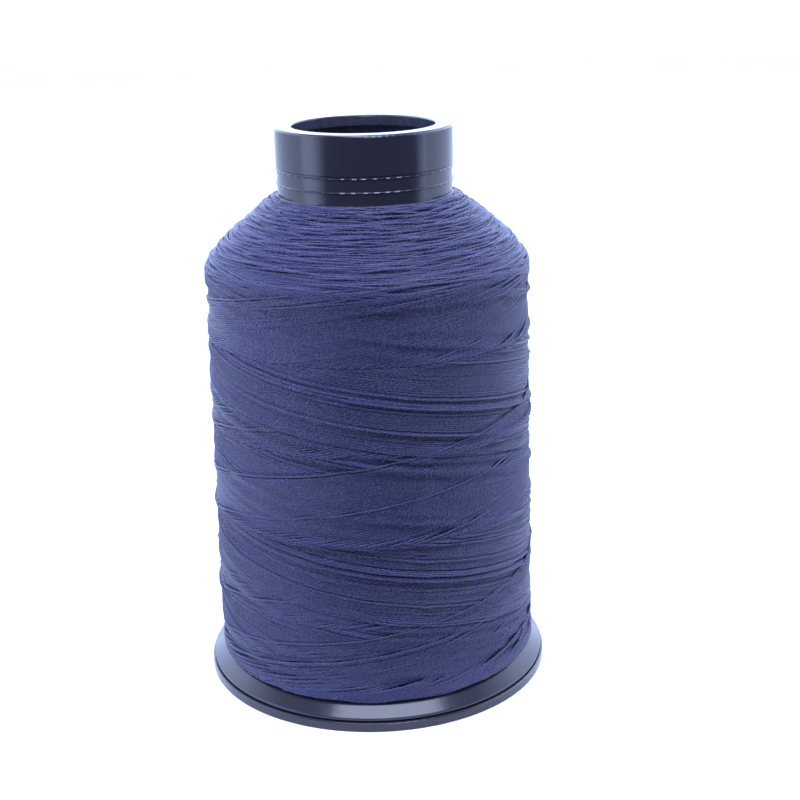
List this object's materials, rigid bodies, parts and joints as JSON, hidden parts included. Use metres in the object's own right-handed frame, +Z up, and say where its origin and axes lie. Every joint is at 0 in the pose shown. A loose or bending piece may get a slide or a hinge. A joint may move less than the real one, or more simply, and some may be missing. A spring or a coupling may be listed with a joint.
{
  "type": "spool of thread",
  "caption": "King-size plastic thread spool with a tapered, cross-wound pack of navy bonded thread and a snap-open base that clamps the thread end.",
  "frame": {"origin": "centre of the base, on the surface that the spool stands on", "axes": "+Z up the spool's axis, towards the collar; the spool is round, so +X and +Y are free"},
  "size_m": [0.076, 0.076, 0.121],
  "materials": {
    "barrel_plastic": "gloss",
    "flange_plastic": "gloss",
    "base_plastic": "gloss",
    "thread": "satin"
  },
  "bodies": {
    "spool": {"barrel": "barrel_plastic", "flange": "flange_plastic", "wound_thread": "thread"},
    "snap_base": {"snap_base": "base_plastic"}
  },
  "joints": [
    {"name": "base_slide", "type": "slide", "parent": "snap_base", "child": "spool", "axis": [0, 0, 1], "range_m": [0, 0.005]}
  ]
}
